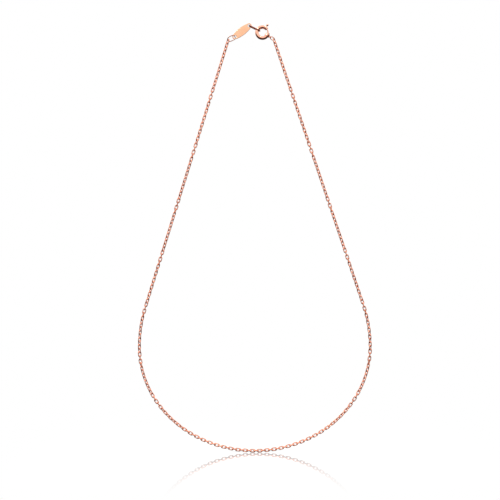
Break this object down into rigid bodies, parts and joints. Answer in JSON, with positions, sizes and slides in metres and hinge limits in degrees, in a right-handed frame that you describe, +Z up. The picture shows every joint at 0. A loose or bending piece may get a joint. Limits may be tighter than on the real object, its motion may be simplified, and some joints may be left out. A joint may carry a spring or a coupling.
{
  "type": "chain necklace",
  "caption": "Fine cable-chain necklace in rose gold colour: a closed teardrop loop with a plain oval tag and a spring-ring clasp.",
  "frame": {"origin": "the top of the closed loop, on its line of symmetry, level with the middle of the clasp ring", "axes": "+Z up, from the bottom of the loop to the clasp; the loop lies in the plane Y = 0 and its front faces -Y; +X towards the clasp's side"},
  "size_m": [0.1014, 0.0028, 0.1858],
  "materials": {
    "chain": "polished rose gold plate",
    "clasp": "polished rose gold plate",
    "tag": "polished rose gold plate",
    "spring": "drawn spring wire"
  },
  "bodies": {
    "clasp": {"clasp_housing": "clasp", "clasp_eye": "clasp", "clasp_spring": "spring"},
    "trigger": {"clasp_trigger": "clasp"},
    "catch_ring": {"catch_ring": "clasp"},
    "tag": {"tag": "tag"},
    "left_end_ring": {"left_end_ring": "clasp"},
    "right_end_ring": {"right_end_ring": "clasp"},
    "level_1": {"left_link_1_upper": "chain", "left_run_1": "chain", "left_link_1_lower": "chain", "right_link_1_upper": "chain", "right_run_1": "chain", "right_link_1_lower": "chain"},
    "level_2": {"left_link_2_upper": "chain", "left_run_2": "chain", "left_link_2_lower": "chain", "right_link_2_upper": "chain", "right_run_2": "chain", "right_link_2_lower": "chain"},
    "level_3": {"left_link_3_upper": "chain", "left_run_3": "chain", "left_link_3_lower": "chain", "right_link_3_upper": "chain", "right_run_3": "chain", "right_link_3_lower": "chain"},
    "level_4": {"left_link_4_upper": "chain", "left_run_4": "chain", "left_link_4_lower": "chain", "right_link_4_upper": "chain", "right_run_4": "chain", "right_link_4_lower": "chain"},
    "level_5": {"left_link_5_upper": "chain", "left_run_5": "chain", "left_link_5_lower": "chain", "right_link_5_upper": "chain", "right_run_5": "chain", "right_link_5_lower": "chain"},
    "level_6": {"left_link_6_upper": "chain", "left_run_6": "chain", "left_link_6_lower": "chain", "right_link_6_upper": "chain", "right_run_6": "chain", "right_link_6_lower": "chain"},
    "level_7": {"left_link_7_upper": "chain", "left_run_7": "chain", "left_link_7_lower": "chain", "right_link_7_upper": "chain", "right_run_7": "chain", "right_link_7_lower": "chain"},
    "level_8": {"bottom_link_left": "chain", "bottom_run": "chain", "bottom_link_right": "chain"}
  },
  "joints": [
    {"name": "clasp_trigger", "type": "hinge", "parent": "clasp", "child": "trigger", "pos_m": [0.00498, 0, 0], "axis": [0, -1, 0], "range_deg": [0, 46], "stiffness_Nm_per_rad": 0.002, "deforming": ["clasp_spring"]},
    {"name": "catch_ring_swing", "type": "hinge", "parent": "clasp", "child": "catch_ring", "pos_m": [-0.00053, 0, 0.00289], "axis": [0.8922, 0, -0.4516], "range_deg": [-20, 20]},
    {"name": "tag_swing", "type": "hinge", "parent": "clasp", "child": "tag", "pos_m": [-0.00716, 0, -0.00177], "axis": [0.8183, 0, 0.5748], "range_deg": [-35, 12]},
    {"name": "left_end_ring_swing", "type": "hinge", "parent": "clasp", "child": "left_end_ring", "pos_m": [-0.00985, 0, -0.003], "axis": [0.9098, 0, 0.415], "range_deg": [-12, 8]},
    {"name": "right_end_ring_swing", "type": "hinge", "parent": "clasp", "child": "right_end_ring", "pos_m": [0.00854, 0, -0.00223], "axis": [0.8605, 0, -0.5094], "range_deg": [-12, 12]},
    {"name": "fold_1", "type": "hinge", "parent": "clasp", "child": "level_1", "pos_m": [0, 0, -0.003], "axis": [1, 0, 0], "range_deg": [-9, 9]},
    {"name": "fold_2", "type": "hinge", "parent": "level_1", "child": "level_2", "pos_m": [0, 0, -0.02657], "axis": [-1, 0, 0], "range_deg": [-75, 75]},
    {"name": "fold_3", "type": "hinge", "parent": "level_2", "child": "level_3", "pos_m": [0, 0, -0.05042], "axis": [1, 0, 0], "range_deg": [-75, 75]},
    {"name": "fold_4", "type": "hinge", "parent": "level_3", "child": "level_4", "pos_m": [0, 0, -0.07427], "axis": [-1, 0, 0], "range_deg": [-75, 75]},
    {"name": "fold_5", "type": "hinge", "parent": "level_4", "child": "level_5", "pos_m": [0, 0, -0.09662], "axis": [1, 0, 0], "range_deg": [-75, 75]},
    {"name": "fold_6", "type": "hinge", "parent": "level_5", "child": "level_6", "pos_m": [0, 0, -0.11898], "axis": [-1, 0, 0], "range_deg": [-75, 75]},
    {"name": "fold_7", "type": "hinge", "parent": "level_6", "child": "level_7", "pos_m": [0, 0, -0.14065], "axis": [1, 0, 0], "range_deg": [-75, 75]},
    {"name": "fold_8", "type": "hinge", "parent": "level_7", "child": "level_8", "pos_m": [0, 0, -0.15821], "axis": [-1, 0, 0], "range_deg": [-50, 50]}
  ]
}
